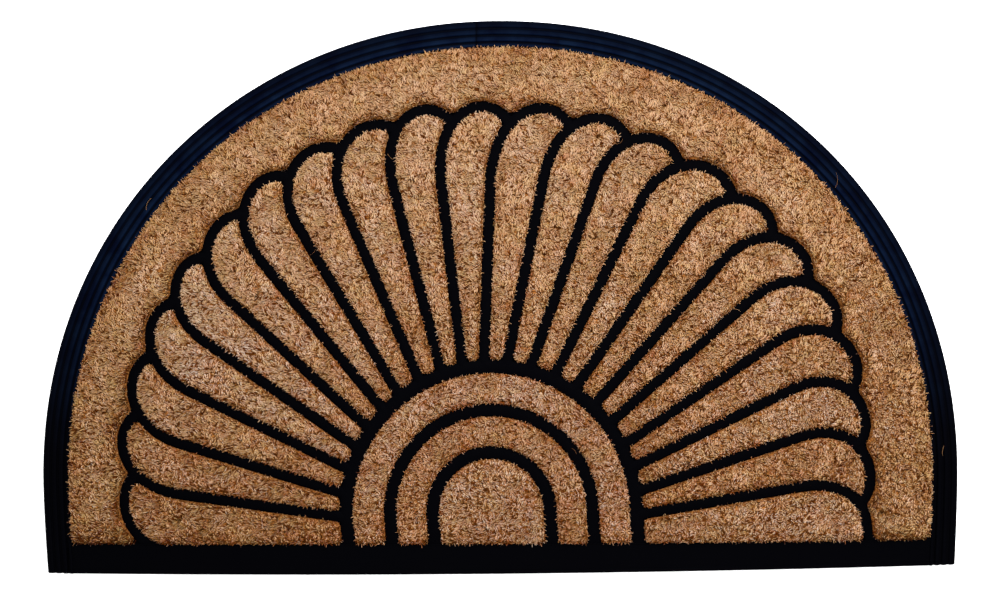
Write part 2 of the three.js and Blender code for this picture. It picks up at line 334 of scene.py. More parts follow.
def strip_faces(rows: int, columns: int) -> Array:
    """Quads between rows of ring points, as four point numbers each."""
    i, j = np.meshgrid(np.arange(rows - 1), np.arange(columns), indexing="ij")
    here, beside = i * columns + j, i * columns + (j + 1) % columns
    return np.stack([here, here + columns, beside + columns, beside], axis=-1).reshape(-1, 4)


def swept(grid: Array, values: dict[str, Array] | None = None) -> Shape:
    """Closed tube from rows of ring points, with flat caps at its two ends.

    Args:
        grid: rows of rings of points, shape (rows, columns, 3).
        values: one value for each point, shape (rows, columns).

    Returns:
        the shape.
    """
    rows, columns = grid.shape[:2]
    ring = np.arange(columns)[None]
    faces = [strip_faces(rows, columns), ring[:, ::-1], ring + (rows - 1) * columns]
    return Shape(grid.reshape(-1, 3), faces, {k: v.ravel() for k, v in (values or {}).items()})


def hair_tubes(plan: Array, height: Array, thickness: float, tones: dict[str, Array]) -> Shape:
    """Loose hairs as thin closed tubes of three sides, which taper to half their thickness.

    Args:
        plan: middle lines, shape (hairs, sections, 2).
        height: the lines' heights, shape (hairs, sections).
        thickness: of the thick end.
        tones: named values for each hair.

    Returns:
        the shape.
    """
    count, sections = height.shape
    along = unit(np.gradient(plan, axis=1))
    aside = np.dstack([-along[..., 1], along[..., 0], 0 * height])
    ring = np.radians([90, 210, 330])[:, None]
    offset = aside[:, :, None] * np.cos(ring) + np.array([0.0, 0.0, 1.0]) * np.sin(ring)
    taper = thickness / 2 * np.linspace(1, 0.5, sections)[:, None, None]
    points = np.dstack([plan, height])[:, :, None] + offset * taper
    last = 3 * sections
    caps = np.array([[0, 1, 2], [last - 1, last - 2, last - 3]])
    first = last * np.arange(count)[:, None, None]
    faces = [(first + strip_faces(sections, 3)[:, ::-1]).reshape(-1, 4),
             (first + caps).reshape(-1, 3)]
    values = {key: np.repeat(tone, last) for key, tone in tones.items()}
    return Shape(points.reshape(-1, 3), faces, {**values, "rise": np.full(count * last, 0.8)})


def arcs(start: Array, way: Array, bend: Array, length: Array, sections: int) -> Array:
    """Arcs of circles in plan.

    Args:
        start: where each arc starts, one X, Y row each.
        way: the heading that it sets off on.
        bend: degrees that it turns through.
        length: its length.
        sections: points on it.

    Returns:
        the points, shape (arcs, sections, 2).
    """
    turn = way[:, None] + bend[:, None] * np.linspace(0, 1, sections)
    step = heading(turn) * (length / (sections - 1))[:, None, None]
    return start[:, None] + np.cumsum(step, axis=1)


# --------------------------------------------------------------------------------------------
# Plan of the mat


@dataclass(frozen=True)
class Outline:
    """The mat's edge: a half round a little squarer than an ellipse, over a bowed front edge."""

    half_width: float
    half_depth: float
    widest_y: float = -144.5
    squareness_left: float = 2.045
    squareness_right: float = 2.07
    draw_in_left: float = 4.3
    draw_in_right: float = 2.8
    side_curve: float = 1.5
    front_low_x: float = -160.0
    front_rise: float = 8.3
    strip_top_y: float = -201.7
    strip_rise: float = 4.4

    def bow(self, x: Array) -> Array:
        """How far the bow at the front has risen: a parabola, 1 at the right-hand corner."""
        return ((x - self.front_low_x) / (self.half_width - self.front_low_x)) ** 2

    def front_y(self, x: Array) -> Array:
        """The front edge's Y."""
        return -self.half_depth + self.front_rise * self.bow(x)

    def strip_y(self, x: Array) -> Array:
        """The Y of the front strip's top edge."""
        return self.strip_top_y + self.strip_rise * self.bow(x)

    @staticmethod
    def shares(over_arc: Array, steps: int) -> Array:
        """Places round the edge for `edge`, with as many steps down each side."""
        sides = np.linspace(-1, 0, steps)[:-1], np.linspace(180, 181, steps)[1:]
        return np.concatenate([sides[0], over_arc, sides[1]])

    def edge(self, share: Array, inset: Array) -> Array:
        """Places on a line that runs inside the mat's edge.

        Over the arc, X and Y are powers of the cosine and sine of the turn. Below it, the side
        draws in with a power of the depth below the widest line.

        Args:
            share: -1 to 0 up the right side, 0 to 180 over the arc in degrees, and on to 181
                down the left side.
            inset: distance inside the edge, on the same grid.

        Returns:
            X and Y for each place.
        """
        way = heading(np.clip(share, 0, 180))
        left = way[..., 0] < 0
        power = 2 / np.where(left, self.squareness_left, self.squareness_right)
        x = (self.half_width - inset) * np.sign(way[..., 0]) * np.abs(way[..., 0]) ** power
        arc_top = self.half_depth - self.widest_y - inset
        y = self.widest_y + arc_top * np.abs(way[..., 1]) ** power
        below = np.where(share < 0, -share, np.where(share > 180, share - 180, 0))
        foot = self.front_y(np.sign(x) * (self.half_width - inset))
        y = np.where(below > 0, self.widest_y + (foot - self.widest_y) * below, y)
        drop = (self.widest_y - y) / (self.widest_y + self.half_depth)
        draw = np.where(left, self.draw_in_left, self.draw_in_right)
        sunk = draw * np.clip(drop, 0, 1) ** self.side_curve
        return np.stack([x - np.sign(x) * np.where(below > 0, sunk, 0), y], axis=-1)


@dataclass(frozen=True)
class RayLean:
    """How far a ray and its foot stand off the even fan in degrees, and its hook in millimetres."""

    ray: int
    lean: float
    foot: float
    rise: float


@dataclass(frozen=True)
class HookForm:
    """Form of a hook: its crown's share of the way across the petal, its depth, and its rise."""

    hook: int
    crown: float
    depth: float
    rise: float


@dataclass(frozen=True)
class Fan:
    """Raised lines of the rising sun: arches at the front strip, and rays that end in hooks."""

    sun: tuple[float, float] = (-7.4, -174.8)
    arches: tuple[tuple[float, float], ...] = ((42.3, 53.8), (77.2, 88.4), (112.5, 124.6))
    leg_lean: float = 0.075
    focus: tuple[float, float] = (-6.5, -198.2)
    ray_count: int = 21
    middle_ray: float = 90.4
    ray_pitch: float = 7.78
    ray_spread: float = 0.0028
    leans: tuple[RayLean, ...] = (
        RayLean(1, 0.7, -0.4, 1.4), RayLean(2, 0.4, -0.2, 0.9), RayLean(3, -0.2, 0, 1),
        RayLean(4, -0.4, 0.2, 0.4), RayLean(5, 0, 0.2, -0.8), RayLean(6, 0, 0.4, 1.8),
        RayLean(7, 0.1, 0.9, 0.2), RayLean(8, 0.1, 0.4, 0), RayLean(9, -0.3, 0.3, 1.7),
        RayLean(12, -0.6, 0.5, 0.8), RayLean(13, -0.8, 0.3, 0.4), RayLean(14, -0.6, -0.3, 0.4),
        RayLean(15, -1, 0.4, 0.8), RayLean(16, -0.6, 0.1, 0.7), RayLean(17, -0.2, 0.3, 0),
        RayLean(19, 0, 0.3, -2.4), RayLean(20, 0.2, 0, -0.5),
    )
    foot_turn: float = 3.4
    foot_ray: float = 13.5
    foot_span: float = 7.0
    crown_centre: tuple[float, float] = (-2.6, -148.3)
    crown_radius: float = 304.6
    crown_bulge: float = 4.0
    hooks: tuple[HookForm, ...] = (
        HookForm(1, 0.79, 45, 0.3), HookForm(7, 0.84, 45, 0.5), HookForm(11, 0.88, 68, 0),
        HookForm(13, 0.92, 56, -0.8), HookForm(17, 1.08, 57, 1.5), HookForm(20, 1.1, 56, 0),
    )
    hook_fall: float = 0.78
    left_angle: float = 181.9
    left_pitch: float = 7.2
    left_fall: float = 1.0
    left_hook: HookForm = HookForm(0, 1.0, 35, 0)
    left_turn: float = 138.0
    right_hook: HookForm = HookForm(21, 1.0, 58, 0)
    right_turn: float = 72.0
    right_foot_x: float = 305.0
    line_width: float = 9.2
    fit: float = 0.3

    def stand_off(self, k: int) -> RayLean:
        """How ray `k` stands off the even fan."""
        return next((row for row in self.leans if row.ray == k), RayLean(k, 0, 0, 0))

    def ray_angle(self, k: int) -> float:
        """Heading of ray `k`, counted clockwise from 1 at the left."""
        from_middle = (self.ray_count + 1) / 2 - k
        even = self.middle_ray + self.ray_pitch * from_middle + self.ray_spread * from_middle**3
        return even + self.stand_off(k).lean

    def to_circle(self, way: Array, centre: tuple[float, float], radius: float) -> Array:
        """How far a circle is from the focus, looking along `way`."""
        offset = np.array(centre) - self.focus
        along = way @ offset
        return along + np.sqrt(radius**2 - offset @ offset + along**2)

    def foot(self, k: int) -> Array:
        """Foot of ray `k`, in the middle of the sun's outer line."""
        aside = min(1.0, abs(k - self.foot_ray) / self.foot_span)
        turned = self.foot_turn * np.cos(aside * np.pi / 2) ** 2 + self.stand_off(k).foot
        way = heading(np.array(self.ray_angle(k) + turned))
        radius = sum(self.arches[-1]) / 2
        to_leg = radius / abs(way[0])
        on_leg = self.focus[1] + to_leg * way[1] < self.sun[1]
        return self.focus + way * (to_leg if on_leg else self.to_circle(way, self.sun, radius))

    def form(self, k: int) -> HookForm:
        """Form of hook `k`, between the two nearest rows of the table, or the one at an end."""
        if k in (0, self.ray_count):
            return self.left_hook if k == 0 else self.right_hook
        rows = [row.hook for row in self.hooks]
        values = (np.interp(k, rows, [getattr(row, name) for row in self.hooks])
                  for name in ("crown", "depth", "rise"))
        return HookForm(k, *(float(value) for value in values))

    def hook(self, k: int) -> Array:
        """Middle line of hook `k`: two parts of ellipses over its petal that meet at its crown.

        The heading from the focus turns with the cosine of the hook's turn, and the reach from
        the crowns falls with its sine. The hook ends where it meets the next one's climb, at 180
        degrees less the arc cosine of 1 / (crown + fall).

        Args:
            k: the hook's number, 0 for the one at the fan's left end.

        Returns:
            places along the hook.
        """
        form = self.form(k)
        fall = self.hook_fall
        turn = 180 - np.degrees(np.arccos(1 / (form.crown + fall)))
        angle = self.ray_angle(k)
        pitch = angle - self.ray_angle(k + 1)
        if k == 0:
            angle, pitch = self.left_angle, self.left_pitch
            fall, turn = self.left_fall, self.left_turn
        if k == self.ray_count:
            turn = self.right_turn
        part = heading(np.linspace(0, turn, 31))
        across = form.crown - part[:, 0] * np.where(part[:, 0] > 0, form.crown, fall)
        way = heading(angle - pitch * across)
        rise = form.rise + self.stand_off(k).rise * part[:, 1]
        bulge = self.crown_bulge * np.abs(2 * way[:, 0] * way[:, 1])
        crowns = self.to_circle(way, self.crown_centre, self.crown_radius) + bulge + rise
        return self.focus + way * (crowns - form.depth * (1 - part[:, 1]))[:, None]

    def ray_path(self, k: int, front: float) -> Array:
        """Middle line of ray `k` with its hook, the last one down to the strip at Y `front`."""
        parts = [self.hook(k)]
        if k > 0:
            parts.insert(0, np.linspace(self.foot(k), parts[0][0], 12)[:-1])
        if k == self.ray_count:
            parts.append(np.linspace(parts[-1][-1], (self.right_foot_x, front), 6)[1:])
        return np.concatenate(parts)

    def arch_path(self, radius: float, front: float) -> Array:
        """Half circle of the sun on two straight legs, which lean right, down to Y `front`."""
        round_part = self.sun + radius * heading(np.linspace(0, 180, 61))
        foot = self.sun[0] + self.leg_lean * (self.sun[1] - front)
        right = np.linspace((foot + radius, front), round_part[0], 5)[:-1]
        left = np.linspace(round_part[-1], (foot - radius, front), 5)[1:]
        return np.concatenate([right, round_part, left])


# --------------------------------------------------------------------------------------------
# Finishes


def linear(code: str) -> tuple[float, float, float, float]:
    """Linear colour of an sRGB hex code such as "#a0b1c2"."""
    parts = [int(code[i : i + 2], 16) / 255 for i in (1, 3, 5)]
    red, green, blue = (c / 12.92 if c <= 0.04045 else ((c + 0.055) / 1.055) ** 2.4 for c in parts)
    return red, green, blue, 1.0


def per_mm(size: float) -> float:
    """Scale of a pattern whose features are `size` millimetres apart, on coordinates in metres."""
    return 1 / (size * MM)


def add_node(tree: bpy.types.NodeTree, kind: str, into: dict | None = None,
             stops: tuple = (), **settings: object) -> dict:
    """Adds a shader node.

    Args:
        tree: the material's node tree.
        kind: the node's type, without its "ShaderNode" prefix.
        into: input name or number to a value, or to an output socket that is linked to it.
        stops: a colour ramp's places and sRGB hex codes.
        settings: the node's own properties.

    Returns:
        the node's output sockets by name, and the node itself under "node".
    """
    node = tree.nodes.new("ShaderNode" + kind)
    for name, value in settings.items():
        setattr(node, name, value)
    for i, (place, code) in enumerate(stops):
        ramp = node.color_ramp.elements
        stop = ramp[i] if i < 2 else ramp.new(place)
        stop.position, stop.color = place, linear(code)
    for name, value in (into or {}).items():
        if isinstance(value, bpy.types.NodeSocket):
            tree.links.new(value, node.inputs[name])
        else:
            node.inputs[name].default_value = value
    return {"node": node, **{s.name: s for s in node.outputs if s.enabled}}


def new_material(name: str) -> tuple[bpy.types.Material, Callable, bpy.types.NodeSocket]:
    """An empty node material, with its own `add_node` and the object's own coordinates."""
    made = bpy.data.materials.new(name)
    made.use_nodes = True
    made.node_tree.nodes.clear()
    add = partial(add_node, made.node_tree)
    return made, add, add("TexCoord")["Object"]


@dataclass(frozen=True)
class MouldedRubber:
    """Vulcanised rubber, pressed in a steel mould.

    To the eye it is a deep soft black that hardly shines. The ribs carry a faint navy tint, mostly
    painted sheen where the light falls with a little rub, and the skin carries the fine blasted
    grain of the mould.
    """

    name: str = "vulcanised_rubber"
    deep: str = "#010102"
    # Navy tint of the ribs: painted sheen where the light falls, with a little rub.
    navy_sheen_and_rub: tuple[tuple[float, str], ...] = ((0.35, "#02091e"), (0.7, "#0b192e"))
    roughness: tuple[float, float] = (0.54, 0.72)
    specular: float = 0.005
    grain: float = 0.6
    grain_depth: float = 0.1
    patch: float = 16.0

    def build(self) -> bpy.types.Material:
        """The material: black, with the navy tint (painted sheen and a little rub) where the mesh
        says so.
        """
        made, add, place = new_material(self.name)
        # The mesh's amount of navy tint: painted sheen on the ribs, with a little rub.
        rubbed = add("Attribute", attribute_name="rubbed")["Fac"]
        patches = add("TexNoise", {
            "Vector": place, "Scale": per_mm(self.patch), "Detail": 4.0,
        })["Fac"]
        tint = add("ValToRGB", {"Fac": patches}, self.navy_sheen_and_rub)["Color"]
        mixed = {"Factor": rubbed, "A": linear(self.deep), "B": tint}
        colour = add("Mix", mixed, data_type="RGBA")["node"].outputs[2]
        grain = add("TexNoise", {"Vector": place, "Scale": per_mm(self.grain), "Detail": 3.0})
        bump = add("Bump", {
            "Height": grain["Fac"], "Strength": 0.25, "Distance": self.grain_depth * MM,
        })
        low, high = self.roughness
        rough = add("MapRange", {"Value": patches, "To Min": low, "To Max": high})
        shader = add("BsdfPrincipled", {
            "Base Color": colour, "Roughness": rough["Result"], "Normal": bump["Normal"],
            "Specular IOR Level": self.specular,
        })
        add("OutputMaterial", {"Surface": shader["BSDF"]})
        return made


@dataclass(frozen=True)
class CoirStrand:
    """Coconut husk fibre, retted, spun into the pile and shorn.

    To the eye each strand is a dry matt straw, from pale cut tips through golden tan to the odd
    red-brown or nearly black one, and all of them are painted darker towards their roots: painted
    shade deep in the pile.
    """

    name: str = "coir_strand"
    stops: tuple[tuple[float, str], ...] = (
        (0.0, "#3a1000"), (0.2, "#773404"), (0.4, "#a7692c"), (0.6, "#c89a6c"),
        (0.8, "#d2b293"), (1.0, "#ddd0c0"),
    )
    warm: str = "#a04c0c"
    straw: str = "#c4a05c"
    cut_tip: str = "#ecdfd0"
    # Colour of the painted shade towards the strands' roots, deep in the pile.
    root: str = "#542403"
    patch: float = 26.0
    drift: float = 0.07
    roughness: float = 0.75
    specular: float = 0.02
    glow_through: float = 0.46

    def build(self) -> bpy.types.Material:
        """The material: a ramp over each strand's own shade, tinted, with painted shade at the
        roots, pale tips.

        The fibre is thin, so that a share of the light passes through it.
        """
        made, add, place = new_material(self.name)
        shade, warmth, yellow, rise = (
            add("Attribute", attribute_name=name)["Fac"]
            for name in ("shade", "warmth", "yellow", "rise")
        )
        patches = add("TexNoise", {"Vector": place, "Scale": per_mm(self.patch), "Detail": 3.0})
        drift = add("MapRange", {
            "Value": patches["Fac"], "From Min": 0.3, "From Max": 0.7,
            "To Min": -self.drift, "To Max": self.drift,
        })
        summed = add("Math", {0: shade, 1: drift["Result"]}, operation="ADD")["Value"]
        colour = add("ValToRGB", {"Fac": summed}, self.stops)["Color"]
        # Painted shade darkens the strand towards its root, and its cut tip is paler.
        painted_root_shade, cut = (
            add("MapRange", {
                "Value": rise, "From Min": low, "From Max": high, "To Min": start, "To Max": end,
            })["Result"]
            for low, high, start, end in ((0.0, 0.6, 0.8, 0.0), (0.7, 1.0, 0.0, 0.15))
        )
        for amount, tint in ((yellow, self.straw), (warmth, self.warm),
                             (cut, self.cut_tip), (painted_root_shade, self.root)):
            mixed = {"Factor": amount, "A": colour, "B": linear(tint)}
            colour = add("Mix", mixed, data_type="RGBA")["node"].outputs[2]
        shader = add("BsdfPrincipled", {
            "Base Color": colour, "Roughness": self.roughness,
            "Specular IOR Level": self.specular,
        })
        through = add("BsdfTranslucent", {"Color": colour})
        both = add("MixShader", {0: self.glow_through, 1: shader["BSDF"], 2: through["BSDF"]})
        add("OutputMaterial", {"Surface": both["Shader"]})
        return made


@dataclass(frozen=True)
class CoirBed:
    """The packed fibre under the strands' tips.

    Its dark brown is painted shade: it stands for the shade between the strands, crossed by fibres
    that lie every way. The crossing streaks are drawn a little coarser than the 0.3 mm fibre so
    that they show.
    """

    name: str = "coir_bed"
    # Dark browns: painted shade deep in the pile.
    stops: tuple[tuple[float, str], ...] = ((0.5, "#40200a"), (0.72, "#8a5828"))
    turns: tuple[float, ...] = (0.3, 1.4, 2.5)
    streak: float = 0.9
    stretch: float = 5.0
    depth: float = 0.8
    roughness: float = 0.85
    specular: float = 0.02

    def build(self) -> bpy.types.Material:
        """The material: three sets of stretched noise, turned against each other, over shade."""
        made, add, place = new_material(self.name)
        lightest = None
        for turn in self.turns:
            turned = add("Mapping", {
                "Vector": place, "Rotation": (0.0, 0.0, turn),
                "Scale": (1 / self.stretch, 1.0, 1.0),
            })["Vector"]
            streaks = add("TexNoise", {
                "Vector": turned, "Scale": per_mm(self.streak), "Detail": 2.0,
            })["Fac"]
            lightest = streaks if lightest is None else add(
                "Math", {0: lightest, 1: streaks}, operation="MAXIMUM")["Value"]
        colour = add("ValToRGB", {"Fac": lightest}, self.stops)
        bump = add("Bump", {"Height": lightest, "Strength": 0.8, "Distance": self.depth * MM})
        shader = add("BsdfPrincipled", {
            "Base Color": colour["Color"], "Roughness": self.roughness,
            "Specular IOR Level": self.specular, "Normal": bump["Normal"],
        })
        add("OutputMaterial", {"Surface": shader["BSDF"]})
        return made


@dataclass(frozen=True)
class StudioPaper:
    """Matt white paper on a light table, so that hardly a shadow shows on it."""

    name: str = "background_paper"
    tone: str = "#f4f4f3"
    fibre: float = 1.5
    fibre_depth: float = 0.1
    roughness: float = 0.95
    glow: float = 0.45

    def build(self) -> bpy.types.Material:
        """The material: near white, with a trace of paper tooth."""
        made, add, place = new_material(self.name)
        tooth = add("TexNoise", {"Vector": place, "Scale": per_mm(self.fibre)})
        bump = add("Bump", {
            "Height": tooth["Fac"], "Strength": 0.05, "Distance": self.fibre_depth * MM,
        })
        shader = add("BsdfPrincipled", {
            "Base Color": linear(self.tone), "Roughness": self.roughness,
            "Specular IOR Level": 0.0, "Normal": bump["Normal"],
            "Emission Color": linear(self.tone), "Emission Strength": self.glow,
        })
        add("OutputMaterial", {"Surface": shader["BSDF"]})
        return made


# --------------------------------------------------------------------------------------------
# Rubber tray


@dataclass
class RubberTray:
    """The moulding: sheet, ribbed rim, plain front strip and the raised lines of the design.

    `seams` are the X and the depth of the fine joints that the mould's parts left in the rim.
    """

    outline: Outline
    fan: Fan
    finish: bpy.types.Material
    node: str = "rubber_tray"
    rim_width: float = 22.4
    rib_edges: tuple[float, ...] = (0.0, 6.4, 12.2, 18.0, 22.4)
    groove: float = 1.3
    groove_floor: float = 5.1
    outer_rib_top: float = 6.4
    inner_rib_top: float = 8.0
    sheet_top: float = 4.0
    line_top: float = 7.5
    line_camber: float = 0.15
    round_over: float = 1.1
    rib_points: int = 11
    seams: tuple[tuple[float, float], ...] = ((-19.7, 0.5), (47.5, 0.25))
    seam_width: float = 0.8
    crease: float = 40.0

    def rib_profile(self) -> tuple[Array, Array, Array]:
        """Section across the rim, as a ring of points.

        Each rib is a flattened crown: its height over the groove is 1 less the fourth power of
        the place across it, and it tilts up towards the pile. The rest of the ring is the rounded
        outer wall, the wall of the pocket and the underside.

        Returns:
            the inset from the mat's edge, the height, and how much navy tint the rubber carries:
            painted sheen, with a little rub.
        """
        edges = np.array(self.rib_edges)
        count = len(edges) - 1
        rib = np.repeat(np.arange(count), self.rib_points)
        place = np.tile(np.linspace(-1, 1, self.rib_points), count)
        half = (np.diff(edges) - self.groove) / 2
        inset = ((edges[:-1] + edges[1:]) / 2)[rib] + place * half[rib]
        share = rib / (count - 1)
        top = self.outer_rib_top + share * (self.inner_rib_top - self.outer_rib_top)
        crown = (1 - np.abs(place) ** 4) ** 0.6
        height = self.groove_floor + (top - self.groove_floor) * crown * (1 + 0.04 * place)
        # Painted sheen: more on each rib's inner flank and on the inner ribs, least in the grooves.
        flank = 0.55 + 0.45 * smooth(-0.3, 0.8, place)
        rubbed = 0.1 + crown * (flank * (0.38 + 0.47 * smooth(0, 0.67, share)) - 0.1)
        outer_inset, outer_height = (0.9, 0.2, 0.0, 0.0), (0.0, 0.25, 1.0, 4.6)
        return (
            np.r_[outer_inset, inset, self.rim_width, self.rim_width],
            np.r_[outer_height, height, self.sheet_top, 0],
            np.pad(rubbed, (len(outer_inset), 2)),
        )

    def rim(self) -> Shape:
        """The ribbed rim, from the right front corner over the arc to the left one.

        A place is the section's inset and height at a share of the edge. The seams are sunk into
        it by a bell curve of X, and the navy tint (painted sheen with a little rub) doesn't reach
        into them.
        """
        inset, height, rubbed = self.rib_profile()
        seam_turn = np.degrees(np.arccos([x / self.outline.half_width for x, _ in self.seams]))
        close = (seam_turn[:, None] + np.linspace(-0.2, 0.2, 9)).ravel()
        share = self.outline.shares(np.union1d(np.linspace(0, 180, 221), close), 15)
        along, across = np.meshgrid(share, inset, indexing="ij")
        plan = self.outline.edge(along, across)
        rise = np.broadcast_to(height, along.shape).copy()
        # The painted sheen is strongest over the arc, where the light falls, and fades down the
        # sides.
        arc_side = smooth(0.0, 0.5, np.sin(np.radians(np.clip(along, 0, 180))))
        navy_sheen_and_rub = rubbed * (0.01 + 0.66 * arc_side)
        upper = (rise > self.sheet_top + 0.3) & (plan[..., 1] > 0)
        for x, size in self.seams:
            joint = upper * np.exp(-(((plan[..., 0] - x) / self.seam_width) ** 2))
            rise -= size * joint
            navy_sheen_and_rub *= 1 - 1.6 * size * joint
        return swept(np.dstack([plan, rise])[:, ::-1], {"rubbed": navy_sheen_and_rub[:, ::-1]})

    def front_strip(self) -> Shape:
        """The plain strip along the front, with a low bead rolled over along both long edges."""
        inside = self.outline.half_width - self.rim_width + 1
        x = np.linspace(-inside, inside, 91)
        turn = np.radians(np.linspace(0, 90, 5))
        inset = np.r_[0, 0, self.round_over * (1 - np.sin(turn))]
        height = np.r_[0, 2, self.line_top - self.round_over * (1 - np.cos(turn))]
        y_front = self.outline.front_y(x)[:, None] + inset
        y_back = self.outline.strip_y(x)[:, None] - inset[::-1]
        y = np.concatenate([y_front, y_back], axis=1)
        z = np.broadcast_to(np.r_[height, height[::-1]], y.shape)
        return swept(np.dstack([np.broadcast_to(x[:, None], y.shape), y, z])[:, ::-1])

    def line(self, path: Array, width: float) -> Shape:
        """A raised line with a crowned top and rounded edges, carried along a path in plan."""
        along = unit(np.gradient(path, axis=0))
        aside = np.stack([-along[:, 1], along[:, 0]], axis=1)
        turn = np.radians(np.linspace(0, 90, 4))
        edge = width / 2 - self.round_over * (1 - np.cos(turn))
        lift = self.line_top - self.round_over * (1 - np.sin(turn)) - self.line_camber
        across = np.r_[-width / 2, -edge, 0, edge[::-1], width / 2]
        foot = self.sheet_top - 1
        height = np.r_[foot, lift, self.line_top, lift[::-1], foot]
        plan = path[:, None] + aside[:, None] * across[:, None]
        behind = self.outline.strip_y(plan[..., 0]) - plan[..., 1]
        sunk = 1.5 * smooth(-0.5, 1.5, behind)
        return swept(np.dstack([plan, np.minimum(height, self.line_top - sunk)]))

    def lines(self) -> list[Shape]:
        """All the raised lines: the sun's arches, then the rays with their hooks."""
        behind = self.outline.strip_top_y - 3
        fan = self.fan
        return [
            self.line(fan.arch_path((inner + outer) / 2, behind), outer - inner - 2 * fan.fit)
            for inner, outer in fan.arches
        ] + [
            self.line(fan.ray_path(k, behind), fan.line_width) for k in range(fan.ray_count + 1)
        ]

    def sheet(self) -> Shape:
        """The sheet under it all: the mat's outline at two heights, with a wall between."""
        share = self.outline.shares(np.linspace(0, 180, 121), 9)
        rim = self.outline.edge(share, np.full(len(share), 1.5))
        x = np.linspace(rim[-1, 0], rim[0, 0], 61)[1:-1]
        ring = np.concatenate([rim, np.stack([x, self.outline.front_y(x) + 0.5], axis=1)])
        grid = np.stack([np.c_[ring, np.full(len(ring), z)] for z in (0.02, self.sheet_top)])
        return swept(grid[:, ::-1])

    def build(self) -> bpy.types.Object:
        """The whole tray as one piece, which stands for its solid."""
        parts = [self.front_strip(), self.sheet(), *self.lines()]
        made = self.rim().write("moulded_tray", parts, [self.finish])
        made.data.shade_smooth()
        made.data.set_sharp_from_angle(angle=np.radians(self.crease))
        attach(made, BODY)
        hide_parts(self.node)
        return made


# --------------------------------------------------------------------------------------------
# Coir


class Share(Enum):
    """Which strands of a piece of coir go into one mesh, and the ending of that mesh's name."""

    ALL = ""
    LEFT = "_left"
    RIGHT = "_right"

    def keeps(self, x: Array) -> Array:
        """Which strands are kept, by their X."""
        return (x < 0) & (self is not Share.RIGHT) | (x >= 0) & (self is not Share.LEFT)


@dataclass(frozen=True)
class DimPatch:
    """A place where the pile is painted darker, painted shade where less light falls, fading out
    over its reach.
    """

    x: float
    y: float
    reach: float
    amount: float

    def at(self, plan: Array) -> Array:
        """How much painted shade points get: a bell curve of their distance."""
        gap = np.linalg.norm(plan - (self.x, self.y), axis=1)
        return self.amount * np.exp(-((gap / self.reach) ** 2))


@dataclass(frozen=True)
class Roll:
    """How much paler and warmer a piece is than the rest, as it was cut from another roll."""

    node: str
    paleness: float = 0.0
    warmth: float = 0.0


@dataclass(frozen=True)
class Strands:
    """Strands by their root, tip, width and named tones from 0 to 1."""

    root: Array
    tip: Array
    width: Array
    tones: dict[str, Array]

    def __add__(self, other: "Strands") -> "Strands":
        """These strands and others."""
        root, tip, width = (
            np.concatenate([getattr(self, name), getattr(other, name)])
            for name in ("root", "tip", "width")
        )
        tones = {key: np.r_[tone, other.tones[key]] for key, tone in self.tones.items()}
        return Strands(root, tip, width, tones)

    def shape(self, keep: Array, random: np.random.Generator) -> Shape:
        """The kept strands as slim four-sided slivers.

        Two points lie across the root and two across the tip, at right angles to each other, so
        that a strand is a closed body about as wide from every side.

        Args:
            keep: which strands are kept.
            random: gives the way that each sliver is turned.

        Returns:
            the shape.
        """
        root, tip, half = self.root[keep], self.tip[keep], self.width[keep, None] / 2
        way = unit(tip - root)
        across = unit(np.cross(way, random.normal(size=way.shape)))
        other = np.cross(way, across)
        points = np.stack([root - across * half, root + across * half,
                           tip - other * half, tip + other * half], axis=1)
        faces = np.array([[0, 1, 3], [1, 0, 2], [3, 2, 0], [2, 3, 1]])
        first = 4 * np.arange(len(root))[:, None, None]
        values = {key: np.repeat(tone[keep], 4) for key, tone in self.tones.items()}
        low = np.tile([True, True, False, False], len(root))
        # The root points take "deep", which sets the painted shade at the root.
        values["rise"] = np.where(low, values.pop("deep"), values["rise"])
        return Shape(points.reshape(-1, 3), [(first + faces).reshape(-1, 3)], values)


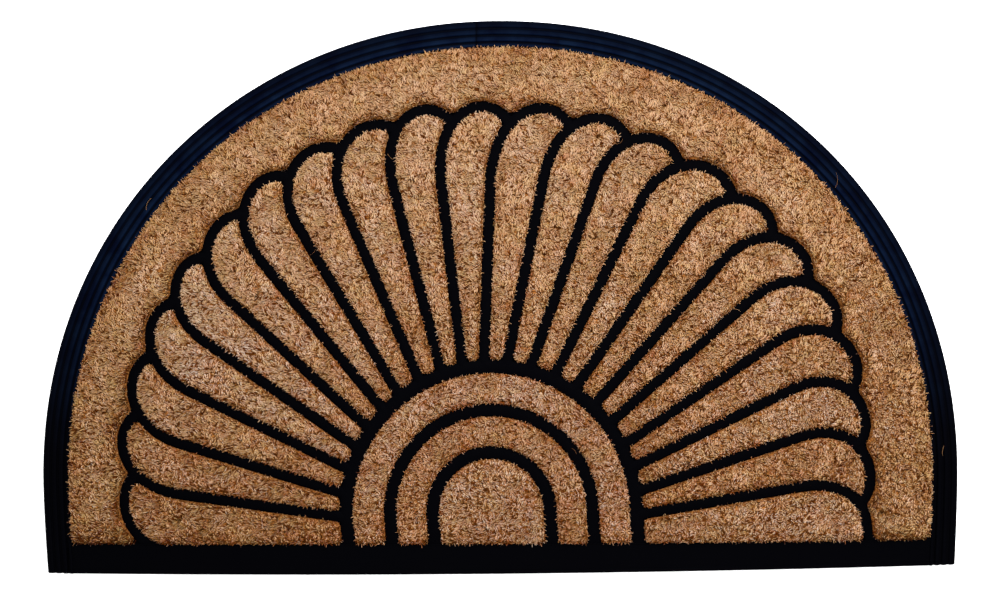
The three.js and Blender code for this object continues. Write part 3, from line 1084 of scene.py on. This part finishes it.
@dataclass
class CoirPile:
    """One cut piece of upright coir: a bed of packed fibre, and the strands that stand in it.

    The shade and reach fields of the edges and the strip set the painted shade along them: `inner`
    ones for edges that face the mat's middle or its front, and `outer` ones for edges that face the
    rim.
    """

    node: str
    seed: int
    finishes: list[bpy.types.Material]
    shares: tuple[Share, ...] = (Share.ALL,)
    density: float = 1.25
    thinned: float = 0.45
    bed_grid: float = 3.4
    bed_sink: float = 3.6
    shoulder: float = 6.0
    shoulder_drop: float = 3.0
    edge_shade: float = 0.06
    edge_reach: float = 4.0
    inner_shade: float = 0.2
    inner_reach: float = 6.0
    inner_close: float = 0.12
    # Painted shade towards outer edges, most on the left side.
    outer_shade: float = 0.02
    outer_reach: float = 10.0
    raggedness: float = 0.5
    corner: float = 3.6
    length: tuple[float, float] = (3.6, 6.4)
    width: tuple[float, float] = (0.42, 0.84)
    edge_spacing: float = 0.6
    edge_length: tuple[float, float] = (3.0, 6.0)
    hairs: float = 0.006
    hair_length: tuple[float, float] = (5.0, 10.0)
    hair_thickness: float = 0.32
    hair_sections: int = 6
    half_depth: float = 227.0
    strip_top: float = -200.7
    strip_reach: float = 12.0
    strip_shade: float = 0.2
    rolls: tuple[Roll, ...] = (
        Roll("coir_band", -0.075, -0.2), Roll("coir_core", 0.095, 0.08),
        Roll("coir_ring_1", -0.01, 0.08), Roll("coir_ring_2", 0.1, 0.06),
        Roll("coir_petal_01", -0.09, -0.06), Roll("coir_petal_02", -0.065, -0.05),
        Roll("coir_petal_03", 0.015, -0.03), Roll("coir_petal_04", 0.095, 0.01),
        Roll("coir_petal_05", 0.112, 0.04), Roll("coir_petal_06", 0.03, 0.02),
        Roll("coir_petal_07", 0.035, 0.04), Roll("coir_petal_08", 0.015, 0.02),
        Roll("coir_petal_09", 0.0, 0.04), Roll("coir_petal_10", 0.02),
        Roll("coir_petal_11", 0.035, 0.02), Roll("coir_petal_12", -0.015),
        Roll("coir_petal_15", 0.015), Roll("coir_petal_16", -0.05),
        Roll("coir_petal_17", -0.015), Roll("coir_petal_18", -0.01, -0.02),
        Roll("coir_petal_19", -0.03, 0.03), Roll("coir_petal_20", 0.055, 0.02),
        Roll("coir_petal_21", -0.06), Roll("coir_petal_22", 0.065),
    )
    # Patches of painted shade towards the front and left, where less light falls.
    worn: tuple[DimPatch, ...] = (
        DimPatch(-300, -185, 65, 0.9), DimPatch(-215, -185, 60, 0.9), DimPatch(-140, -185, 45, 0.9),
        DimPatch(-180, -145, 50, 0.5), DimPatch(-75, -70, 45, 0.4), DimPatch(140, -145, 45, 1.0),
        DimPatch(70, -50, 40, 0.4), DimPatch(-10, -125, 35, 0.5),
    )
    sun: tuple[float, float] = (-7.0, -175.0)
    tuft: Tufts = Tufts(spacing=4.4, seed=11)
    swell: Wander = Wander(period=17.0, seed=12)
    comb: Wander = Wander(period=13.0, seed=13)
    patch: Wander = Wander(period=14.0, seed=14)
    rust: Wander = Wander(period=8.0, seed=15)
    straw: Wander = Wander(period=11.0, seed=16)
    rag: Wander = Wander(period=4.5, seed=17)
    # Field that gathers the nearly black specks into clusters.
    speck_crowding: Wander = Wander(period=14.0, seed=18)
    speck: Tufts = Tufts(spacing=4.5, seed=19)
    speck_radius: float = 0.68
    speck_lift: float = 0.3

    def __post_init__(self) -> None:
        """Reads the solid's outline and heights from the frame."""
        low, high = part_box(self.node)
        self.floor, self.top = low.z / MM, high.z / MM
        self.loop = Loop.of_node(bpy.data.objects[self.node]).rounded(self.corner)
        self.random = np.random.default_rng(self.seed)
        rolls = {roll.node: roll for roll in self.rolls}
        self.roll = rolls.get(self.node, Roll(self.node))

    def surface(self, plan: Array, depth: Array) -> Array:
        """Height of the pile's tips.

        The solid's top, swelling gently, with each tuft a little higher or lower, less a shoulder
        that falls along a quarter ellipse towards the edge.
        """
        number = self.tuft.nearest(plan)[1]
        part = 1 - np.clip(depth / self.shoulder, 0, 1)
        fall = self.shoulder_drop * (1 - np.sqrt(1 - 0.98 * part**2))
        return self.top + 0.4 * self.swell.at(plan) + 0.2 - 1.6 * number**4 - fall

    def bed(self) -> Shape:
        """The packed fibre.

        Its top is a square grid of points over the plan, with its border moved to the nearest
        place on the outline, at the surface's height less the sink. A wall drops to the floor.
        """
        step = self.bed_grid
        xs, ys = (np.arange(low - step, high + 2 * step, step) for low, high in zip(*self.loop.box))
        grid = np.stack(np.meshgrid(xs, ys, indexing="ij"), axis=-1)
        plan = grid.reshape(-1, 2)
        count = len(plan)
        middles = grid[:-1, :-1].reshape(-1, 2) + step / 2
        inside = (self.loop.depth(middles)[0] > 0.12 * step).reshape(len(xs) - 1, -1)
        number = np.arange(count).reshape(len(xs), -1)
        quads = np.stack([corner[inside] for corner in cells(number)], axis=1)
        around = np.array(cells(np.pad(inside, 1)))
        border = (around.any(axis=0) & ~around.all(axis=0)).ravel()
        depth, place = self.loop.depth(plan)
        plan[border] = place[border]
        tips = self.surface(plan, np.where(border, 0, depth)) - self.bed_sink
        sides = np.concatenate([quads[:, [i, (i + 1) % 4]] for i in range(4)])
        back = sides @ (1, count)
        rim = sides[~np.isin(sides @ (count, 1), back)]
        wall = np.column_stack([rim[:, ::-1], rim + count])
        used, faces = np.unique(
            np.concatenate([quads, wall, quads[:, ::-1] + count]), return_inverse=True)
        points = np.concatenate([np.c_[plan, tips], np.c_[plan, np.full(count, self.floor)]])
        return Shape(points[used], [faces.reshape(-1, 4)], slot=1)

    def inward(self, place: Array, out: Array) -> Array:
        """How much the edge faces the mat's middle or its front, from 0 to 1."""
        inner = smooth(-0.1, 0.4, -(unit(place) * out).sum(axis=1))
        return np.maximum(inner, smooth(0.6, 0.9, -out[:, 1]))

    def painted_edge_shade(self, depth: Array, place: Array, out: Array) -> Array:
        """How much painted shade the edge puts on strands: most where it faces inwards."""
        inner = self.inward(place, out)
        reach = self.edge_reach + (self.inner_reach - self.edge_reach) * inner
        shade = self.edge_shade + (self.inner_shade - self.edge_shade) * inner
        close = self.inner_close * inner * (1 - smooth(-0.5, 2.8, depth))
        return shade * (1 - smooth(0, 1, depth / reach)) ** 1.3 + close

    def outer_shaded(self, depth: Array, place: Array, out: Array) -> Array:
        """How much painted shade dulls strands towards an outer edge, which the left side shows
        most.
        """
        most = self.outer_shade * (1 - 0.5 * out[:, 0]) * (1 - self.inward(place, out))
        return most * (1 - smooth(4, self.outer_reach, depth))

    def tones(self, plan: Array, near: Array, outer_shaded: Array, specked: Array) -> dict[str, Array]:
        """Colour of strands, from their own chance, their tuft, patches and painted shade at the
        edge.

        The pile is redder round the sun. Painted shade makes it darker and browner towards the
        front, in patches towards the front and left, and along the strip, where less light falls,
        and there dark and nearly black strands are commoner than at the arc. Near the edges the
        painted shade is warmer.
        One tuft in fourteen is stained. A black strand keeps little of the tints, and no pale tip.

        Args:
            plan: the strands' places.
            near: how much painted shade the edge puts on them.
            outer_shaded: how much painted shade dulls them towards an outer edge.
            specked: whether they are in a nearly black speck.

        Returns:
            shade, from nearly black to cream, how red-brown and how straw yellow they are, and how
            far up the strand its tip ("rise") and its root ("deep") are coloured, which sets the
            painted shade at its root.
        """
        count = len(plan)
        number = self.tuft.nearest(plan)[1]
        hue = (7 * number) % 1 - 0.5
        stained = ((13 * number) % 1 < 0.07) * self.random.uniform(0, 1, count)
        arcward = plan[:, 1] / self.half_depth
        # Painted shade in patches towards the front and left, where less light falls.
        worn = sum(place.at(plan) for place in self.worn)
        sunward = np.exp(-(((np.linalg.norm(plan - self.sun, axis=1) - 120) / 50) ** 2))
        # Painted shade along the front strip.
        near_strip = 1 - smooth(0, self.strip_reach, plan[:, 1] - self.strip_top)
        # Warm patches at random, and warmer near the edges as painted warm shade.
        rust_and_edge_warmth = smooth(0.1, 0.9, self.rust.at(plan)) * (0.2 + 1.2 * np.minimum(near, 0.25))
        warmth = rust_and_edge_warmth + 0.1 * np.minimum(near, 0.4) + 0.1 * sunward + 0.15 * stained
        # Painted shade of the edges and the strip, drawn partly as dark and nearly black strands.
        near = (near + self.strip_shade * near_strip) * self.random.uniform(0.3, 1.7, count)
        spread = self.random.normal(0, 0.09, count) * (1 - 0.75 * arcward)
        shade = 0.65 + spread + 0.12 * (0.5 - number) + self.roll.paleness
        shade += 0.06 * self.patch.at(plan) - 0.25 * near - 0.3 * stained - 0.05 * worn - outer_shaded
        dark = 0.06 - 0.05 * arcward + 0.04 * worn + 0.4 * near
        shade = np.where(self.random.random(count) < dark, 0.5 * shade - 0.1, shade)
        chance = 0.032 - 0.032 * arcward + 0.05 * worn + 0.4 * near
        black = specked | (self.random.random(count) < chance)
        warmth += self.random.normal(0.04, 0.09, count) - 0.02 * worn + self.roll.warmth
        # Less warm towards the arc, and greyer where the outer painted shade falls.
        warmth -= 0.12 * hue + 0.11 * arcward + 0.8 * outer_shaded
        yellow = self.random.normal(0.19, 0.12, count) + 0.22 * self.straw.at(plan) + 0.38 * hue
        return {
            "shade": np.clip(np.where(black, 0.1, 1) * shade, 0, 1),
            "warmth": np.clip(np.where(black, 0.5, 1) * warmth, 0, 0.8),
            "yellow": np.clip(np.where(black, 0.2, 1) * yellow, 0, 0.7),
            "rise": np.where(black, 0.7, 1.0),
            # Painted shade at the roots, lighter towards the arc.
            "deep": 0.45 * smooth(-0.4, 0.9, arcward),
        }

    def kept_in(self, plan: Array, reach: Array | float) -> Array:
        """Places moved back so that they stand out from the outline by no more than `reach`."""
        depth, place = self.loop.depth(plan)
        out = unit(plan - place) * np.where(depth < 0, 1, -1)[:, None]
        held = place + out * np.broadcast_to(reach, len(plan))[:, None]
        return np.where((depth < -reach)[:, None], held, plan)

    def specked(self, root: Array, tip: Array) -> Array:
        """Which strands come into a speck, a small place where the fibre is nearly black.

        Args:
            root: the strands' lower ends.
            tip: the strands' upper ends.

        Returns:
            whether any of three places on the upper half of each strand is in one.
        """
        met = np.zeros(len(root), bool)
        for part in (0.5, 0.75, 1.0):
            plan = (root + part * (tip - root))[:, :2]
            gap, number = self.speck.nearest(plan)
            size = self.speck_radius * (0.6 + 0.8 * ((29 * number) % 1))
            share = 0.33 - 0.25 * plan[:, 1] / self.half_depth
            share *= 0.4 + 2 * smooth(-0.3, 0.8, self.speck_crowding.at(plan))
            met |= (np.linalg.norm(gap, axis=1) < size) & (number < share)
        return met

    def field(self) -> Strands:
        """Strands all over the piece.

        They stand on a jittered square lattice. The strands of a tuft lean one way together, which
        wanders slowly over the mat, and gather a little towards the tuft's middle. Near the edge
        they lean outwards, where only a few pass the outline.
        """
        step = self.density**-0.5
        axes = (np.arange(low, high, step) for low, high in zip(*self.loop.box))
        plan = np.stack(np.meshgrid(*axes, indexing="ij"), axis=-1).reshape(-1, 2)
        plan = plan + self.random.uniform(0, step, plan.shape)
        depth, place = self.loop.depth(plan)
        apart = np.linalg.norm(self.tuft.nearest(plan)[0], axis=1) / self.tuft.spacing
        chance = self.random.random(len(plan))
        kept = depth > 0.2 + self.random.exponential(0.6, len(plan))
        kept &= chance > self.thinned * smooth(0.3, 0.6, apart)
        plan, depth, place = plan[kept], depth[kept], place[kept]
        count = len(plan)
        away, number = self.tuft.nearest(plan)
        own = heading(self.random.uniform(0, 360, count))
        own *= self.random.uniform(0, 0.6, count)[:, None]
        together = heading(145 + 80 * self.comb.at(plan - away) + 140 * (number - 0.5))
        out = unit(place - plan)
        edge = out * (1 - smooth(0, 4.0, depth))[:, None] * 0.5
        lean = 0.75 * together - 0.25 * away / self.tuft.spacing + own + edge
        way = unit(np.c_[lean, np.full(count, 0.9)])
        length = self.random.uniform(*self.length, count)[:, None]
        tips = self.surface(plan, depth) + 0.25 - self.random.exponential(0.65, count)
        wild = np.where(self.random.random(count) < 0.05, self.random.uniform(0, 1.8, count), 0.0)
        reach = wild + self.raggedness * (self.rag.at(place) + self.random.normal(0, 0.7, count))
        reach -= (0.4 + 1.0 * self.inward(place, out)) * (self.raggedness - 0.5)
        half = way[:, :2] * length * 0.5
        tip = np.c_[self.kept_in(plan + half, reach), tips]
        root = np.c_[self.kept_in(plan - half, -0.7), tips - way[:, 2] * length[:, 0]]
        root[:, 2] = np.maximum(root[:, 2], self.floor + 0.5)
        width = self.random.uniform(*self.width, count)
        # How much painted shade the edges put on each strand.
        near, outer_shaded = self.painted_edge_shade(depth, place, out), self.outer_shaded(depth, place, out)
        specked = self.specked(root, tip)
        tip[:, 2] += self.speck_lift * specked
        return Strands(root, tip, width, self.tones(plan, near, outer_shaded, specked))

    def fringe(self) -> Strands:
        """Strands along the cut edge, which cover its wall, and here and there a wisp hangs out."""
        place, out = self.loop.walk(self.edge_spacing)
        count = len(place)
        between = self.random.uniform
        along = np.stack([-out[:, 1], out[:, 0]], axis=1)
        wisp = self.random.random(count) < 0.14 + 0.2 * (self.rag.at(place) > 0.3)
        lean = out * np.where(wisp, between(0.3, 0.9, count), between(-0.12, 0.26, count))[:, None]
        lean += along * self.random.normal(0, 0.35, count)[:, None]
        way = unit(np.c_[lean, np.ones(count)])
        length = between(*self.edge_length, count)
        tips = self.top - self.shoulder_drop + between(-2.5, 1.0, count) + 1.0 * wisp
        inside = np.where(wisp, 1.2, between(-0.2, 0.9, count))[:, None]
        root = np.c_[place - out * inside, tips - way[:, 2] * length]
        width = 0.8 * between(*self.width, count)
        depth = np.zeros(count)
        near, outer_shaded = self.painted_edge_shade(depth, place, out), self.outer_shaded(depth, place, out)
        tones = self.tones(place, near, outer_shaded, depth > 0)
        # Painted shade on the wall's strands: their dark root tint reaches higher where the edge
        # faces inwards.
        bare = between(0.3, 0.7, count) + 0.35 * (1 - self.inward(place, out))
        tones["rise"] = np.where(wisp, 1.0, bare)
        return Strands(root, root + way * length[:, None], width, tones)

    def lying(self) -> Shape:
        """Longer hairs that lie on the pile.

        Each is an arc in plan. It follows the surface, with a low sine hump over it, and stays
        inside the outline.
        """
        low, high = self.loop.box
        between = self.random.uniform
        start = between(low, high, (int(self.hairs * np.prod(high - low)), 2))
        start = start[self.loop.depth(start)[0] > 2]
        count, sections = len(start), self.hair_sections
        way, bend = between((0, -80), (360, 80), (count, 2)).T
        plan = arcs(start, way, bend, between(*self.hair_length, count), sections)
        flat = self.kept_in(plan.reshape(-1, 2), -0.8)
        over = between(0.2, 0.7, (count, 1)) * np.sin(np.linspace(0, np.pi, sections))
        height = self.surface(flat, self.loop.depth(flat)[0]).reshape(count, sections) - 0.2 + over
        tones = {key: between(least, most, count) for key, least, most in (
            ("shade", 0.45, 0.95), ("warmth", 0, 0.25), ("yellow", 0, 0.4))}
        return hair_tubes(flat.reshape(plan.shape), height, self.hair_thickness, tones)

    def build(self) -> list[bpy.types.Object]:
        """The piece of coir, in one mesh or, where it has too many strands, in several."""
        strands = self.field() + self.fringe()
        name = self.node.replace("coir", "pile")
        made = []
        for share in self.shares:
            shape = strands.shape(share.keeps(strands.root[:, 0]), self.random)
            more = [] if made else [self.bed()]
            if share is not Share.LEFT:
                more.append(self.lying())
            piece = shape.write(name + share.value, more, self.finishes)
            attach(piece, BODY)
            if not made:
                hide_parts(self.node)
            made.append(piece)
        return made


@dataclass(frozen=True)
class Hair:
    """One loose hair: where it starts, which way it sets off, how it bends, and its length."""

    x: float
    y: float
    heading: float
    bend: float
    length: float


@dataclass
class StrayHairs:
    """The few loose hairs that lie across the rim and the lines."""

    finish: bpy.types.Material
    hairs: tuple[Hair, ...] = (
        Hair(272, 88, 60, 50, 13), Hair(-288, 70, 100, -60, 11), Hair(20, 146, 200, 60, 9),
        Hair(150, 96, 200, -80, 8), Hair(-92, 118, 290, 40, 7), Hair(196, -12, 130, 60, 7),
        Hair(-214, -66, 20, -70, 8), Hair(62, -128, 100, 50, 6), Hair(92, 126, 330, 110, 9),
        Hair(-150, 40, 250, -50, 7), Hair(362, -120, 230, 60, 9), Hair(-120, 148, 180, 50, 7),
    )
    seed: int = 71
    sections: int = 9
    lowest: float = 12.5
    thickness: float = 0.22

    def build(self) -> bpy.types.Object:
        """The hairs as one piece: arcs in plan, with a low sine hump in height."""
        random = np.random.default_rng(self.seed)
        table = np.array([(h.x, h.y, h.heading, h.bend, h.length) for h in self.hairs])
        plan = arcs(table[:, :2], *table[:, 2:].T, self.sections)
        hump = np.sin(np.linspace(0, np.pi, self.sections))
        height = self.lowest + random.uniform(0.3, 1.2, (len(plan), 1)) * hump
        still = np.zeros(len(plan))
        tones = {"shade": random.uniform(0.2, 0.7, len(plan)), "warmth": still,
                 "yellow": still + 0.2}
        tubes = hair_tubes(plan, height, self.thickness, tones)
        made = tubes.write("stray_hairs", [], [self.finish])
        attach(made, BODY)
        return made


# --------------------------------------------------------------------------------------------
# Studio


def placed(name: str, data: bpy.types.ID, place: tuple = (0, 0, 0)) -> bpy.types.Object:
    """Adds an object to the scene, for the studio."""
    made = bpy.data.objects.new(name, data)
    made.location = place
    bpy.context.scene.collection.objects.link(made)
    return made


@dataclass(frozen=True)
class Softbox:
    """A square area light, in metres, aimed at the middle of the mat."""

    name: str
    place: tuple[float, float, float]
    side: float
    watts: float
    tint: str

    def build(self) -> None:
        """Adds the light."""
        light = bpy.data.lights.new(self.name, "AREA")
        light.shape, light.size, light.energy = "SQUARE", self.side, self.watts
        light.color = linear(self.tint)[:3]
        lamp = placed(self.name, light, self.place)
        lamp.rotation_euler = (-lamp.location).to_track_quat("-Z", "Y").to_euler()


@dataclass
class Studio:
    """White paper floor, one softbox over the arc, light all round, and a camera overhead."""

    paper: bpy.types.Material
    eye: tuple[float, float, float] = (-0.0003, -0.0008, 1.1)
    lens: float = 48.08
    film: float = 36.0
    floor_side: float = 14.0
    floor_z: float = -0.0002
    horizon: float = 1.52
    overhead: float = 0.38
    softbox: Softbox = Softbox("key_over_arc", (0.2, 0.33, 1.28), 0.9, 56.5, "#f8f9ff")

    def floor(self) -> None:
        """A square sheet of paper, a hair under the mat."""
        half = self.floor_side / 2
        corners = [(-half, -half), (half, -half), (half, half), (-half, half)]
        mesh = bpy.data.meshes.new("paper_floor")
        mesh.from_pydata([(x, y, self.floor_z) for x, y in corners], [], [(0, 1, 2, 3)])
        mesh.materials.append(self.paper)
        placed("paper_floor", mesh)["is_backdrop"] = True

    def camera(self) -> None:
        """A camera straight over the mat, with the arc up."""
        data = bpy.data.cameras.new("overhead")
        data.lens, data.sensor_width = self.lens, self.film
        bpy.context.scene.camera = placed("overhead", data, self.eye)

    def sky(self) -> None:
        """The even light of the room, which falls from the horizon to overhead."""
        world = bpy.data.worlds.new("studio")
        world.use_nodes = True
        world.node_tree.nodes.clear()
        add = partial(add_node, world.node_tree)
        way = add("SeparateXYZ", {"Vector": add("TexCoord")["Generated"]})
        strength = add("MapRange", {
            "Value": way["Z"], "From Min": 0.1, "From Max": 0.85,
            "To Min": self.horizon, "To Max": self.overhead,
        })["Result"]
        sky = add("Background", {"Color": (1.0, 1.0, 1.0, 1.0), "Strength": strength})
        add("OutputWorld", {"Surface": sky["Background"]})
        bpy.context.scene.world = world

    def build(self) -> None:
        """Adds floor, camera, softbox and sky, and shows colours as they are."""
        self.floor()
        self.camera()
        self.softbox.build()
        self.sky()
        bpy.context.scene.view_settings.view_transform = "Standard"


# --------------------------------------------------------------------------------------------


def triangles(piece: bpy.types.Object) -> int:
    """Logs a finished piece and returns its number of triangles."""
    count = len(piece.data.loops) - 2 * len(piece.data.polygons)
    LOG.info("%s: %d triangles", piece.name, count)
    return count


def main() -> None:
    """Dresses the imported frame, piece by piece, and sets the studio up."""
    logging.basicConfig(level=logging.INFO, format="%(name)s: %(message)s")
    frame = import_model()
    cad_box = [list(corner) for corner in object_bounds()]
    outline = Outline(half_width=cad_box[1][0] / MM, half_depth=cad_box[1][1] / MM)

    Studio(StudioPaper().build()).build()
    rubber, strand, bed = MouldedRubber().build(), CoirStrand().build(), CoirBed().build()
    pieces = [RubberTray(outline, Fan(), rubber).build()]
    for seed, node in enumerate(sorted(n for n in frame["nodes"] if n.startswith("coir")), 101):
        own = dict(
            shares=(Share.LEFT, Share.RIGHT), inner_shade=0.4, inner_reach=10.0, inner_close=0.8,
            outer_shade=0.1, outer_reach=20.0, strip_reach=22.0, strip_shade=0.5, raggedness=1.1,
            corner=5.5,
        ) if node == "coir_band" else {}
        pieces += CoirPile(node, seed, [strand, bed], **own).build()
    pieces.append(StrayHairs(strand).build())
    LOG.info("in all: %d triangles", sum(triangles(piece) for piece in pieces))

    bpy.context.view_layer.update()


if __name__ == "__main__":
    main()
